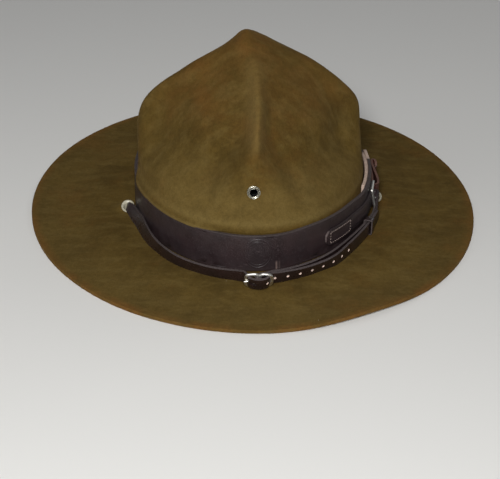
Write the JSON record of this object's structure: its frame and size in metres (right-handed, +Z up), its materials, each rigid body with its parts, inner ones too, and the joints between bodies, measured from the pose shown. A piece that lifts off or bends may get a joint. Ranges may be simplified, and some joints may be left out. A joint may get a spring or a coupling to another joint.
{
  "type": "campaign hat",
  "caption": "Worn brown-green felt campaign hat with dented crown, flat round brim, dark leather band and a buckled leather chin strap.",
  "frame": {"origin": "middle of the bounding box at the brim's underside", "axes": "-Y to the front of the hat, +X to the wearer's left, +Z up through the crown"},
  "size_m": [0.3396, 0.3635, 0.1446],
  "materials": {
    "felt": "matt brushed wool felt, olive brown, rubbed orange-brown on the edges",
    "band_leather": "satin dark brown leather with a pale cut edge",
    "billet_leather": "satin red-brown leather",
    "strap_leather": "polished dark brown leather with pale punched holes",
    "nickel": "worn nickel plating",
    "enamel": "grey-cream enamel, chipped"
  },
  "bodies": {
    "root": {"felt_body": "felt", "crown_eyelet": "nickel", "brim_eyelet_left": "enamel", "brim_eyelet_right": "enamel", "hat_band": "band_leather", "band_chape": "band_leather", "band_buckle": "nickel", "band_billet": "billet_leather", "chin_strap": "strap_leather", "strap_buckle": "nickel", "strap_buckle_tongue": "nickel", "strap_keeper": "strap_leather"}
  },
  "joints": []
}
